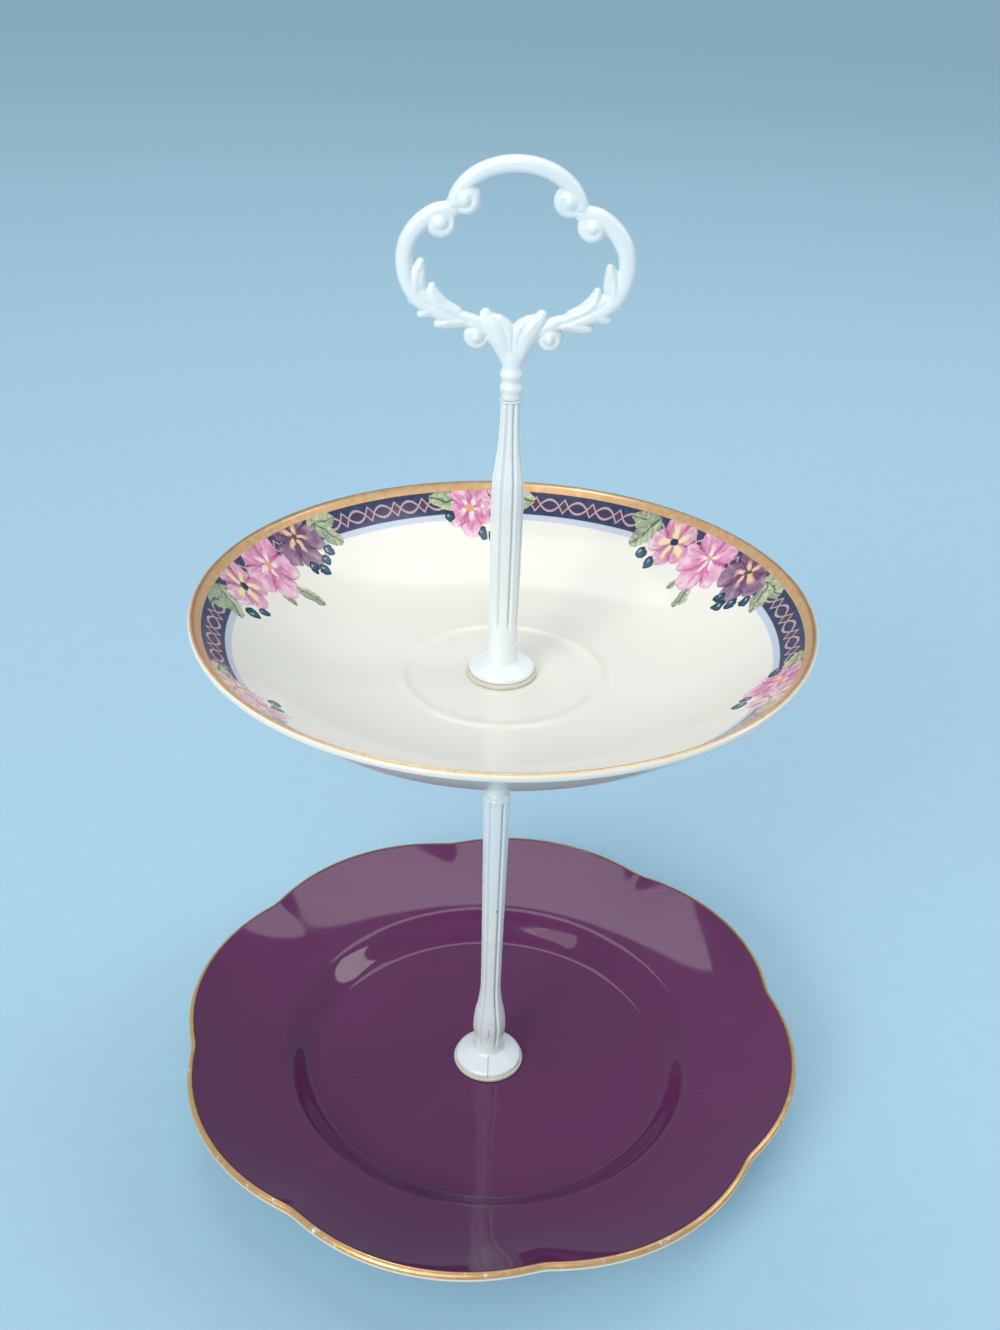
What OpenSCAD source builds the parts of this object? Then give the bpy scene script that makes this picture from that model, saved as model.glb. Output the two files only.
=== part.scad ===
// Two tier cake stand: a saucer over a scalloped tea plate, held apart by cast, fluted
// and enamelled rods that screw together through the plates, under a scrolled loop handle.
// Millimetres, +Z up. The origin is on the table, on the stand's axis.

/* [Lower plate] */
// Diameter across the crests of the scalloped rim
lower_plate_d = 180.6; // [150:0.2:230]
// Depth of the well floor under the rim
lower_depth = 16.5; // [13:0.5:19]
// Diameter of the flat well floor
lower_well_d = 102; // [80:1:110]
// Width of the curved wall between the well and the flange
lower_wall_w = 10.5; // [6:0.5:16]
// Height of that wall
lower_wall_h = 7.2; // [4:0.2:10]
// Thickness of the well floor
lower_floor_t = 4.0; // [3:0.1:5]
// Radius of the rounded rim edge
lower_lip_r = 1.4; // [1:0.1:2]
// Number of scallops round the rim
scallops = 8; // [6:1:12]
// How far the notches between scallops reach in from the crests
scallop_notch = 3.5; // [2:0.5:6]
// Turn of the first notch about the axis, in degrees
scallop_turn = 10.4; // [0:0.1:45]
// Mean diameter of the foot ring
lower_foot_d = 98; // [70:1:104]

/* [Upper plate] */
// Diameter of the saucer
upper_plate_d = 155; // [130:1:190]
// Depth of the saucer floor under the rim
upper_depth = 20.9; // [16:0.5:28]
// Diameter of the flat floor inside the wall curve
upper_floor_d = 56; // [46:1:70]
// Steepness of the wall curve, a power of the radius
upper_curve = 2.4; // [1.6:0.1:3]
// Thickness of the saucer floor
upper_floor_t = 3.6; // [3:0.1:5]
// Radius of the rounded rim edge
upper_lip_r = 1.1; // [0.8:0.1:1.6]
// Diameter of the raised ring that keeps a cup in place
cup_ring_d = 51; // [44:1:54]
// Height of the cup ring over the floor
cup_ring_h = 0.5; // [0.3:0.1:0.8]
// Mean diameter of the foot ring
upper_foot_d = 46; // [40:1:60]
// Height of the foot ring under the floor
upper_foot_h = 2.6; // [2:0.2:4]

/* [Both plates] */
// Diameter of the hole drilled through each plate
plate_hole_d = 7; // [6:0.5:8]
// Width of each foot ring
foot_w = 2.6; // [2:0.2:4]

/* [Lower rod] */
// Length of the lower rod, flange to top
lower_rod_l = 127.5; // [100:0.5:160]
// Diameter of the fluted column just under its chamfered top
column_top_d = 7.6; // [7.2:0.1:10]
// Diameter of the column's waist over the bulb
column_waist_d = 6.2; // [6:0.1:7]
// Height of the waist over the flange
column_waist_z = 28; // [22:0.5:40]
// Diameter of the bulb over the flange
bulb_d = 9.8; // [8:0.1:12]
// Height of the bulb's widest part
bulb_z = 12.6; // [10:0.2:18]
// Diameter of the base flange
lower_flange_d = 19.4; // [16:0.2:24]
// Length of the plain neck over the column
neck_l = 31; // [24:0.5:40]
// Wall of the plain neck round the stud pressed into it
neck_wall = 0.5; // [0.4:0.05:1]
// Diameter of the cup at the very top
rod_cup_d = 10; // [8:0.2:14]

/* [Upper rod] */
// Length of the upper rod, flange to top
upper_rod_l = 71.6; // [60:0.5:100]
// Diameter of the rod's plain round foot
rod_foot_d = 7.4; // [7:0.1:9]
// Height of the plain round foot
rod_foot_h = 13.5; // [8:0.5:18]
// Diameter of the swell
swell_d = 8.1; // [7.6:0.1:10]
// Height of the lower end of the swell
swell_z = 34; // [28:0.5:40]
// Height of the upper end of the swell
swell_top_z = 51; // [42:0.5:54]
// Diameter at the top, under the handle
rod_top_d = 5.0; // [4.8:0.1:6]
// Diameter of the flange
upper_flange_d = 16.7; // [14:0.2:20]

/* [Both rods] */
// Flutes round the lower rod
lower_flutes = 6; // [5:1:8]
// Flutes round the upper rod
upper_flutes = 8; // [6:1:9]
// Radius of the groove between two ribs
groove_r = 0.5; // [0.3:0.05:0.7]
// Height of each flange's rim
flange_rim_h = 0.9; // [0.6:0.1:1.4]
// Height of each flange's cone up to the rod
flange_cone_h = 2.4; // [1.6:0.1:3]

/* [Handle] */
// Diameter of the handle's bars
bar_d = 3.9; // [3.4:0.1:4.6]
// Radius of the top arc's centre line
top_arc_r = 14.6; // [13:0.1:17]
// Height of the top arc's centre over the handle's foot
top_arc_z = 37.5; // [35:0.5:42]
// Radius of the side lobes' centre lines
lobe_r = 9.9; // [9:0.1:12]
// How far outside the top arc's ends the lobes' bars start
lobe_start_out = 0.24; // [0:0.02:0.6]
// How far under the top arc's ends the lobes' bars start
lobe_start_drop = 1.29; // [0.6:0.01:2]
// Radius of the scrolls under the top arc and in the lobes
scroll_r = 3.45; // [3:0.05:4]
// Radius of the two scrolls beside the stem
foot_scroll_r = 2.9; // [2.4:0.05:3.4]
// Thickness of the scrolls across the handle
scroll_t = 4.2; // [3.6:0.1:5]
// Height of the fork where the two leaves part
fork_z = 12; // [10:0.2:14]
// Distance of each fork leaf's tip from the axis
fork_tip_x = 7.2; // [6:0.1:9]
// Height of the fork leaves' tips
fork_tip_z = 20.6; // [18:0.2:24]
// Diameter of the beads on the neck
bead_d = 5.7; // [5.4:0.1:7]
// Diameter of the neck between the beads
bead_neck_d = 5.1; // [4.8:0.1:5.2]

/* [Fastenings] */
// Diameter of the stud and the base screw that hold the plates
thread_d = 4.0; // [3.4:0.1:4]
// Diameter of the stud that holds the handle
handle_thread_d = 3.0; // [2.6:0.1:3.2]
// Thread length held in each rod end
thread_grip = 10; // [8:0.5:12]
// Thread length of the handle's stud in the rod
handle_grip = 7.2; // [6:0.2:9]
// Length of each stud pressed into its casting
stud_root = 11; // [8:0.5:12]
// Length of the handle's stud pressed into the handle
handle_root = 8; // [6:0.5:10]
// Thickness of the plastic washers that face the plates' upper sides
washer_t = 1.1; // [0.8:0.1:2]
// How far the plastic washers stand out past their flanges
washer_lip = 0.6; // [0.3:0.1:1.5]
// Thickness of the plastic washer under the lower plate
base_washer_t = 0.8; // [0.5:0.1:1]
// Thickness of the thin washer under the handle
handle_washer_t = 0.5; // [0.3:0.1:1]
// Diameter of the metal disc under the upper plate
support_disc_d = 18; // [16:0.5:24]
// Thickness of the metal disc under the upper plate
support_disc_t = 1.5; // [1:0.1:2.5]
// Diameter of the metal washer under the base screw
steel_washer_d = 14; // [11:0.5:18]
// Thickness of the metal washer over the screw's head
steel_washer_t = 0.6; // [0.5:0.1:0.8]
// Diameter of the base screw's head
screw_head_d = 8; // [7:0.2:10]
// Height of the base screw's head
screw_head_h = 1.9; // [1.6:0.1:2.1]
// Width of the slot in the screw's head
slot_w = 1.1; // [0.8:0.1:1.4]
// Depth of the slot in the screw's head
slot_depth = 0.9; // [0.6:0.1:1.1]

/* [Clearances] */
// Radial clearance of a thread in its bore
thread_clear = 0.05; // [0.02:0.01:0.1]
// Gap between faces that turn on each other
slip = 0.05; // [0.02:0.01:0.1]
// Radial clearance of washers and disc round the threads
washer_clear = 0.3; // [0.2:0.05:0.6]
// Gap between the base screw's head and the table
screw_gap = 0.6; // [0.3:0.1:2]

/* [Hidden] */
$fn = 96;
enamel = "white";
washer_cream = "cornsilk";
steel = "silver";

// Heights, from the table up: the foot ring is as tall as the screw and washers need
screw_head_z = screw_gap;
steel_washer_z = screw_head_z + screw_head_h + slip;
base_washer_z = steel_washer_z + steel_washer_t + slip;
lower_under_z = base_washer_z + base_washer_t;
lower_floor_z = lower_under_z + lower_floor_t;
lower_rim_z = lower_floor_z + lower_depth;
lower_washer_z = lower_floor_z + slip;
lower_rod_z = lower_washer_z + washer_t;
support_disc_z = lower_rod_z + lower_rod_l;
support_washer_z = support_disc_z + support_disc_t;
upper_under_z = support_washer_z + washer_t + slip;
upper_floor_z = upper_under_z + upper_floor_t;
upper_rim_z = upper_floor_z + upper_depth;
upper_washer_z = upper_floor_z + slip;
upper_rod_z = upper_washer_z + washer_t + slip;
handle_washer_z = upper_rod_z + upper_rod_l + slip;
handle_z = handle_washer_z + handle_washer_t + slip;

bore_r = thread_d / 2 + thread_clear;
neck_r = thread_d / 2 + neck_wall;
handle_bore_r = handle_thread_d / 2 + thread_clear;
bore_spare = 2;
groove_out = 0.12;
knuckle_out = 0.12;
chamfer = 0.4;
top_arc_end_a = 24;
profile_steps = 20;
lip_steps = 8;
over = 1;

// Rise of a wall that starts level, climbs h over a width w, and ends on slope m
function wall_rise(u, w, h, m) = h * (3 * u * u - 2 * u * u * u) + w * m * (u * u * u - u * u);

// Points along a circle from angle a0 to a1
function arc_points(x, y, r, a0, a1, steps) =
    [for (i = [0:steps]) let (a = a0 + (a1 - a0) * i / steps) [x + r * cos(a), y + r * sin(a)]];

// ---------- plates ----------

lower_rim_r = lower_plate_d / 2 - lower_lip_r;
lower_shoulder_r = lower_well_d / 2 + lower_wall_w;
flange_slope = (lower_depth - lower_wall_h) / (lower_rim_r - lower_shoulder_r);
lower_wall_top = [for (i = [0:profile_steps])
    let (u = i / profile_steps)
    [lower_well_d / 2 + lower_wall_w * u,
     wall_rise(u, lower_wall_w, lower_wall_h, flange_slope)]];
lower_top = concat([[plate_hole_d / 2, 0]], lower_wall_top, [[lower_rim_r, lower_depth]]);

upper_rim_r = upper_plate_d / 2 - upper_lip_r;
upper_floor_r = upper_floor_d / 2;
upper_top = concat([[plate_hole_d / 2, 0]], [for (i = [0:profile_steps])
    let (u = i / profile_steps)
    [upper_floor_r + (upper_rim_r - upper_floor_r) * u, upper_depth * pow(u, upper_curve)]]);

// Under side of a dish at radius r: floor_t thick in the floor, thinning evenly to the lip
function under_at(r, top, rim_r, lip_r, floor_r, floor_t) =
    let (k = max(0, (r - floor_r) / (rim_r - floor_r)))
    lookup(r, top) - floor_t + (floor_t - 2 * lip_r) * k;

// Outline of a dish: its upper side, the round lip, and its under side
function dish_outline(top, rim_r, rim_z, lip_r, floor_r, floor_t) = concat(
    top,
    arc_points(rim_r, rim_z - lip_r, lip_r, 90, -90, lip_steps),
    [for (i = [len(top) - 1:-1:0])
        let (r = top[i][0]) [r, under_at(r, top, rim_r, lip_r, floor_r, floor_t)]]);

// A foot ring from bottom_z up to roots, the points just inside the dish's under side
module foot_ring(foot_d, roots, bottom_z) {
    rotate_extrude()
        polygon(concat(
            [[foot_d / 2 - foot_w / 2, bottom_z + chamfer],
             [foot_d / 2 - foot_w / 2 + chamfer, bottom_z],
             [foot_d / 2 + foot_w / 2 - chamfer, bottom_z],
             [foot_d / 2 + foot_w / 2, bottom_z + chamfer]],
            roots));
}

// Radii across a foot ring's root, from its outer edge to its inner one
function root_radii(foot_d) = [for (i = [4:-1:0]) foot_d / 2 + foot_w * (i - 2) / 2];

// The rim's outline: equal arcs whose ends meet in notches
module scallop_cutter(h) {
    half = 180 / scallops;
    crest = lower_plate_d / 2;
    notch = crest - scallop_notch;
    centre = (crest * crest - notch * notch) / (2 * (crest - notch * cos(half)));
    for (i = [0:scallops - 1])
        rotate(scallop_turn + half * (2 * i + 1))
            translate([centre, 0, -over])
                cylinder(h = h + 2 * over, r = crest - centre, $fn = 180);
}

module lower_plate() {
    color([0.36, 0.08, 0.2])
    intersection() {
        union() {
            translate([0, 0, lower_floor_z])
                rotate_extrude($fn = 180)
                    polygon(dish_outline(lower_top, lower_rim_r, lower_depth, lower_lip_r,
                                         lower_well_d / 2, lower_floor_t));
            foot_ring(lower_foot_d,
                      [for (r = root_radii(lower_foot_d))
                          [r, lower_floor_z + chamfer
                              + under_at(r, lower_top, lower_rim_r, lower_lip_r,
                                         lower_well_d / 2, lower_floor_t)]],
                      0);
        }
        scallop_cutter(lower_rim_z);
    }
}

module upper_plate() {
    color([0.95, 0.94, 0.9])
    union() {
        translate([0, 0, upper_floor_z]) {
            rotate_extrude($fn = 180)
                polygon(dish_outline(upper_top, upper_rim_r, upper_depth, upper_lip_r,
                                     upper_floor_r, upper_floor_t));
            rotate_extrude()
                polygon([[cup_ring_d / 2 - 3 * cup_ring_h, -chamfer],
                         [cup_ring_d / 2 - cup_ring_h, cup_ring_h],
                         [cup_ring_d / 2 + cup_ring_h, cup_ring_h],
                         [cup_ring_d / 2 + 3 * cup_ring_h, -chamfer]]);
        }
        foot_ring(upper_foot_d,
                  [for (r = root_radii(upper_foot_d))
                      [r, upper_floor_z + chamfer
                          + under_at(r, upper_top, upper_rim_r, upper_lip_r,
                                     upper_floor_r, upper_floor_t)]],
                  upper_under_z - upper_foot_h);
    }
}

// ---------- rods ----------

// A groove run straight up the side of a rod, from (r0, z0) to (r1, z1), with a round end
module groove(r0, z0, r1, z1) {
    run = norm([r1 - r0, z1 - z0]);
    translate([r0 + groove_out, 0, z0])
        rotate([0, atan2(r1 - r0, z1 - z0), 0]) {
            cylinder(h = run, r = groove_r, $fn = 24);
            sphere(r = groove_r, $fn = 24);
        }
}

// Its children repeated round the axis, with a rib facing the front
module round_flutes(count) {
    for (i = [0:count - 1])
        rotate(360 / count * (i + 0.5) - 90) children();
}

// Half outline of a flange with its cone, up to a rod of radius rod_r
function flange_points(flange_r, rod_r) =
    [[0, 0], [flange_r - chamfer, 0], [flange_r, chamfer], [flange_r, flange_rim_h],
     [flange_r - chamfer, flange_rim_h + chamfer], [rod_r, flange_rim_h + flange_cone_h]];

module lower_rod() {
    column_top_z = lower_rod_l - neck_l;
    cup_z = lower_rod_l - stud_root - bore_spare;
    color(enamel)
    translate([0, 0, lower_rod_z])
    difference() {
        rotate_extrude()
            polygon(concat(
                flange_points(lower_flange_d / 2, bulb_d / 2 - 0.9),
                [[bulb_d / 2 - 0.9, bulb_z - 5.4], [bulb_d / 2 - 0.3, bulb_z - 2.4],
                 [bulb_d / 2, bulb_z], [bulb_d / 2 - 0.4, bulb_z + 4],
                 [(bulb_d + column_waist_d) / 4, (bulb_z + column_waist_z) / 2],
                 [column_waist_d / 2 + 0.15, column_waist_z - 3],
                 [column_waist_d / 2, column_waist_z],
                 [column_top_d / 2, column_top_z - chamfer * 3],
                 [neck_r, column_top_z],
                 [neck_r, cup_z - 4],
                 [neck_r + 0.8, cup_z],
                 [rod_cup_d / 2 - 1, lower_rod_l - 3],
                 [rod_cup_d / 2, lower_rod_l - 1.5],
                 [rod_cup_d / 2, lower_rod_l],
                 [0, lower_rod_l]]));
        round_flutes(lower_flutes) {
            groove(column_waist_d / 2, column_waist_z, column_top_d / 2, column_top_z);
            groove(bulb_d / 2, bulb_z, column_waist_d / 2, column_waist_z);
        }
        translate([0, 0, -over])
            cylinder(h = thread_grip + bore_spare + over, r = bore_r, $fn = 48);
        translate([0, 0, lower_rod_l - stud_root])
            cylinder(h = stud_root + over, r = thread_d / 2, $fn = 48);
    }
}

module upper_rod() {
    color(enamel)
    translate([0, 0, upper_rod_z])
    difference() {
        rotate_extrude()
            polygon(concat(
                flange_points(upper_flange_d / 2, rod_foot_d / 2),
                [[rod_foot_d / 2, rod_foot_h],
                 [rod_foot_d / 2 + 0.15, rod_foot_h + 2],
                 [swell_d / 2 - 0.05, swell_z], [swell_d / 2, swell_top_z],
                 [rod_top_d / 2 + 0.2, upper_rod_l - 8],
                 [rod_top_d / 2, upper_rod_l - 4], [rod_top_d / 2, upper_rod_l],
                 [0, upper_rod_l]]));
        round_flutes(upper_flutes) {
            groove(rod_foot_d / 2 + 0.2, rod_foot_h + 2, swell_d / 2, swell_top_z);
            groove(swell_d / 2, swell_top_z, rod_top_d / 2 + 0.3, upper_rod_l - 6);
        }
        translate([0, 0, -over])
            cylinder(h = thread_grip + bore_spare + over, r = bore_r, $fn = 48);
        translate([0, 0, upper_rod_l - handle_grip - bore_spare])
            cylinder(h = handle_grip + bore_spare + over, r = handle_bore_r, $fn = 48);
    }
}

// ---------- handle, drawn in the XZ plane from its foot ----------

// A ring segment of the bar about (x, z), from angle a0 through the given sweep
module bar_arc(x, z, r, a0, sweep, bar_r) {
    translate([x, 0, z])
        rotate([90, 0, 0])
            rotate(a0)
                rotate_extrude(angle = sweep)
                    translate([r, 0]) circle(r = bar_r, $fn = 32);
}

// A round knuckle where bars meet, its poles along a bar that leans by lean degrees
module knuckle(x, z, r, lean) {
    translate([x, 0, z]) rotate([0, lean, 0]) sphere(r = r + knuckle_out, $fn = 32);
}

// A tapering leaf
module leaf(x0, z0, x1, z1, r0, r1) {
    translate([x0, 0, z0])
        rotate([0, atan2(x1 - x0, z1 - z0), 0])
            cylinder(h = norm([x1 - x0, z1 - z0]), r1 = r0, r2 = r1, $fn = 32);
}

module scroll(x, z, r) {
    translate([x, scroll_t / 2, z])
        rotate([90, 0, 0])
            cylinder(h = scroll_t, r = r, $fn = 48);
}

module handle_side() {
    bar_r = bar_d / 2;
    top_scroll_a = 33;
    top_scroll_r = top_arc_r - scroll_r / 2;
    lobe_scroll_r = lobe_r - scroll_r * 0.7;
    lobe_end_a = -57;
    lobe_sweep = 157;
    lobe_start_a = lobe_end_a + lobe_sweep;
    lobe_x = top_arc_r * cos(top_arc_end_a) + lobe_start_out - lobe_r * cos(lobe_start_a);
    lobe_z = top_arc_z + top_arc_r * sin(top_arc_end_a) - lobe_start_drop
        - lobe_r * sin(lobe_start_a);
    lobe_end = [lobe_x + lobe_r * cos(lobe_end_a), lobe_z + lobe_r * sin(lobe_end_a)];
    foot_scroll = [fork_tip_x + foot_scroll_r / 2, fork_tip_z - 1.7 * foot_scroll_r];
    sweep_mid = [(lobe_end[0] + foot_scroll[0]) / 2, lobe_end[1] - 1.9];
    bar_arc(lobe_x, lobe_z, lobe_r, lobe_end_a, lobe_sweep, bar_r);
    scroll(top_scroll_r * cos(top_scroll_a), top_arc_z + top_scroll_r * sin(top_scroll_a),
           scroll_r);
    scroll(lobe_x + 0.8, lobe_z + lobe_scroll_r, scroll_r);
    scroll(foot_scroll[0], foot_scroll[1], foot_scroll_r);
    // The bar's leafy run from the lobe down to the stem
    knuckle(lobe_end[0], lobe_end[1], bar_r, 0);
    leaf(lobe_end[0], lobe_end[1], sweep_mid[0], sweep_mid[1], bar_r, bar_r * 0.9);
    knuckle(sweep_mid[0], sweep_mid[1], bar_r * 0.9,
            atan2(lobe_end[0] - sweep_mid[0], lobe_end[1] - sweep_mid[1]));
    leaf(sweep_mid[0], sweep_mid[1], foot_scroll[0] - 2, foot_scroll[1] + 2.6,
         bar_r * 0.9, bar_r * 0.8);
    leaf(lobe_end[0] + 1.6, lobe_end[1] + 1.8, lobe_end[0] + 0.4, lobe_end[1] + 7.2, 1.6, 0.8);
    leaf(lobe_end[0] - 1.5, lobe_end[1] - 0.8, lobe_end[0] - 2.6, lobe_end[1] + 3.0, 1.6, 0.8);
    leaf(lobe_end[0] - 1, lobe_end[1] - 0.6, lobe_end[0] + 1.7, lobe_end[1] - 3.2, 1.6, 0.9);
    leaf(sweep_mid[0], sweep_mid[1], sweep_mid[0] + 2.6, sweep_mid[1] - 2.6, 1.6, 0.9);
    leaf(0, fork_z, fork_tip_x, fork_tip_z, bead_neck_d / 2 - 0.1, 1);
}

module handle() {
    bead_r = bead_d / 2;
    bead_round = 0.9;
    bead_low = 2.1;
    bead_pitch = 4.3;
    color(enamel)
    translate([0, 0, handle_z])
    difference() {
        union() {
            bar_arc(0, top_arc_z, top_arc_r, top_arc_end_a, 180 - 2 * top_arc_end_a,
                    bar_d / 2);
            handle_side();
            mirror([1, 0, 0]) handle_side();
            cylinder(h = fork_z + 1.5, r = bead_neck_d / 2);
            for (i = [0:1])
                translate([0, 0, bead_low + bead_pitch * i])
                    rotate_extrude()
                        translate([bead_r - bead_round, 0])
                            circle(r = bead_round, $fn = 32);
        }
        translate([0, 0, -over])
            cylinder(h = handle_root + over, r = handle_thread_d / 2, $fn = 48);
    }
}

// ---------- fastenings ----------

module ring(z, h, outer_r, hole_r) {
    translate([0, 0, z])
        difference() {
            cylinder(h = h, r = outer_r);
            translate([0, 0, -over]) cylinder(h = h + 2 * over, r = hole_r, $fn = 48);
        }
}

module lower_rod_washer() {
    color(washer_cream)
        ring(lower_washer_z, washer_t, lower_flange_d / 2 + washer_lip,
             thread_d / 2 + washer_clear);
}

module upper_rod_washer() {
    color(washer_cream)
        ring(upper_washer_z, washer_t, upper_flange_d / 2 + washer_lip,
             thread_d / 2 + washer_clear);
}

module support_disc() {
    color(enamel)
        ring(support_disc_z, support_disc_t, support_disc_d / 2, thread_d / 2 + washer_clear);
}

module support_washer() {
    color(washer_cream)
        ring(support_washer_z, washer_t, support_disc_d / 2 + washer_lip,
             thread_d / 2 + washer_clear);
}

module base_plastic_washer() {
    color(washer_cream)
        ring(base_washer_z, base_washer_t, steel_washer_d / 2 + washer_lip,
             thread_d / 2 + washer_clear);
}

module base_steel_washer() {
    color(steel)
        ring(steel_washer_z, steel_washer_t, steel_washer_d / 2, thread_d / 2 + washer_clear);
}

module handle_washer() {
    color(washer_cream)
        ring(handle_washer_z, handle_washer_t, rod_top_d / 2 + washer_lip / 4,
             handle_thread_d / 2 + washer_clear);
}

// A round headed screw, driven up through the lower plate into the lower rod
module base_screw() {
    tip_z = lower_rod_z + thread_grip;
    head_top = screw_head_z + screw_head_h;
    color(steel)
    difference() {
        union() {
            translate([0, 0, head_top - over / 2])
                cylinder(h = tip_z - head_top + over / 2, r = thread_d / 2, $fn = 48);
            translate([0, 0, screw_head_z])
                rotate_extrude()
                    polygon([[0, 0], [screw_head_d / 2 - screw_head_h / 2, 0],
                             [screw_head_d / 2 - chamfer / 2, screw_head_h * 0.6],
                             [screw_head_d / 2, screw_head_h], [0, screw_head_h]]);
        }
        translate([-screw_head_d, -slot_w / 2, screw_head_z - over])
            cube([2 * screw_head_d, slot_w, slot_depth + over]);
    }
}

module joining_stud() {
    color(steel)
        translate([0, 0, support_disc_z - stud_root])
            cylinder(h = upper_rod_z + thread_grip - support_disc_z + stud_root,
                     r = thread_d / 2, $fn = 48);
}

module handle_stud() {
    color(steel)
        translate([0, 0, handle_z - slip - handle_washer_t - slip - handle_grip])
            cylinder(h = handle_grip + handle_washer_t + 2 * slip + handle_root,
                     r = handle_thread_d / 2, $fn = 48);
}

lower_plate();
base_screw();
base_steel_washer();
base_plastic_washer();
lower_rod_washer();
lower_rod();
joining_stud();
support_disc();
support_washer();
upper_plate();
upper_rod_washer();
upper_rod();
handle_washer();
handle_stud();
handle();
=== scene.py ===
"""Two tier cake stand: glazed china plates on enamelled, screwed rods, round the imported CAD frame.

Lengths inside the shape functions are millimetres in the CAD frame; MM turns them to metres."""
import math
from functools import partial

import bpy
import numpy as np
from mathutils import Matrix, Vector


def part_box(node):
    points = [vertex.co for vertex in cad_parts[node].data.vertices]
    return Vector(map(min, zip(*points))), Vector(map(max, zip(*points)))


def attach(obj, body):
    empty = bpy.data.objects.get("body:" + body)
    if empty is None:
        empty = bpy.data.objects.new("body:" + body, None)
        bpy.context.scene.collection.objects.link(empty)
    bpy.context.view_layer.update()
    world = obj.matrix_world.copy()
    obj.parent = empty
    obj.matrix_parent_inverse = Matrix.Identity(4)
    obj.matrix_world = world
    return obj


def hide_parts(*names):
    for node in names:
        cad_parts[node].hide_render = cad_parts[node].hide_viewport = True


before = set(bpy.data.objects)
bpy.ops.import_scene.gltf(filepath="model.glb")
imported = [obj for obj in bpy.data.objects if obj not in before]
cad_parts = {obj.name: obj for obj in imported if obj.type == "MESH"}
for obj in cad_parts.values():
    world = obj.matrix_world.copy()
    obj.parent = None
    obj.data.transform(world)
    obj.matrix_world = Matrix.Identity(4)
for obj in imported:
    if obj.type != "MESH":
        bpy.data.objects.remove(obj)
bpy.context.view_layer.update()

MM = 0.001
PER_MM = 1000.0
TURN = 2 * math.pi


def box_mm(node):
    """The lowest and highest corner of a CAD node, in millimetres."""
    low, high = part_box(node)
    return np.array(low) / MM, np.array(high) / MM


# ---------------------------------------------------------------- meshes


def smooth_step(x, low, high):
    """0 below low, 1 above high, and 3u^2 - 2u^3 between them."""
    u = np.clip((np.asarray(x, float) - low) / (high - low), 0, 1)
    return u * u * (3 - 2 * u)


def bell(x, centre, width):
    """A bump of height 1: e to the power of minus the square of the distance over the width."""
    return np.exp(-(((np.asarray(x, float) - centre) / width) ** 2))


def linked(name, data):
    """A new object of this data, in the scene."""
    piece = bpy.data.objects.new(name, data)
    bpy.context.scene.collection.objects.link(piece)
    return piece


def mesh_of(name, points, *groups, uv=None):
    """A smooth shaded mesh object from points in millimetres and groups of faces, where the faces
    of a group have the same number of corners."""
    mesh = bpy.data.meshes.new(name)
    corners = np.concatenate([np.ravel(group) for group in groups])
    sides = np.concatenate([np.full(len(group), np.shape(group)[1]) for group in groups])
    mesh.vertices.add(len(points))
    mesh.vertices.foreach_set("co", (np.asarray(points, float) * MM).astype(np.float32).ravel())
    mesh.loops.add(len(corners))
    mesh.loops.foreach_set("vertex_index", corners.astype(np.int32))
    mesh.polygons.add(len(sides))
    mesh.polygons.foreach_set("loop_start", (np.cumsum(sides) - sides).astype(np.int32))
    mesh.polygons.foreach_set("use_smooth", np.ones(len(sides), bool))
    mesh.update(calc_edges=True)
    if uv is not None:
        layer = mesh.uv_layers.new(name="UVMap")
        layer.data.foreach_set("uv", np.asarray(uv, np.float32).ravel())
    mesh.validate()
    return linked(name, mesh)


def ring_faces(rows, columns, closed_rows):
    """Quads of a grid whose columns close round the axis, and whose rows close too if asked.
    Corners run so that rows going down the outside face outwards."""
    steps = rows if closed_rows else rows - 1
    i, j = np.meshgrid(np.arange(steps), np.arange(columns), indexing="ij")
    i, j = i.ravel(), j.ravel()
    i_next, j_next = (i + 1) % rows, (j + 1) % columns
    quads = np.stack([i * columns + j, i_next * columns + j,
                      i_next * columns + j_next, i * columns + j_next], 1)
    return quads, i, j


def spin(radius, height, columns, shape=None):
    """A grid of points: row i of the profile (radius, height), turned about the axis to angle j.
    shape(radius, height, angle) may bend it."""
    angle = np.arange(columns) / columns * TURN
    r = np.repeat(np.asarray(radius, float)[:, None], columns, 1)
    z = np.repeat(np.asarray(height, float)[:, None], columns, 1)
    a = np.repeat(angle[None, :], len(radius), 0)
    if shape is not None:
        r, z, a = shape(r, z, a)
    return np.stack([r * np.cos(a), r * np.sin(a), z], -1)


def lathe(name, radius, height, columns, along=None, shape=None):
    """A closed profile turned about the axis. UV is (turns, millimetres along / 100)."""
    points = spin(radius, height, columns, shape).reshape(-1, 3)
    quads, i, j = ring_faces(len(radius), columns, True)
    uv = None
    if along is not None:
        v = np.append(np.asarray(along, float), along[0]) / 100
        uv = np.stack([np.stack([j, j, j + 1, j + 1], 1) / columns,
                       np.stack([v[i], v[i + 1], v[i + 1], v[i]], 1)], -1)
    return mesh_of(name, points, quads, uv=uv)


def capped(name, radius, height, columns, shape=None):
    """As lathe, for a profile with open ends: rows from the top down, and a fan of triangles to a
    point on the axis closes each end."""
    grid = spin(radius, height, columns, shape)
    rows = len(radius)
    quads, _, _ = ring_faces(rows, columns, False)
    ends = [[0, 0, grid[0, :, 2].mean()], [0, 0, grid[-1, :, 2].mean()]]
    j = np.arange(columns)
    j_next = (j + 1) % columns
    top, last = rows * columns, (rows - 1) * columns
    fans = [np.stack([np.full(columns, top), j, j_next], 1),
            np.stack([np.full(columns, top + 1), last + j_next, last + j], 1)]
    return mesh_of(name, np.vstack([grid.reshape(-1, 3), ends]), quads, *fans)


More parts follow.
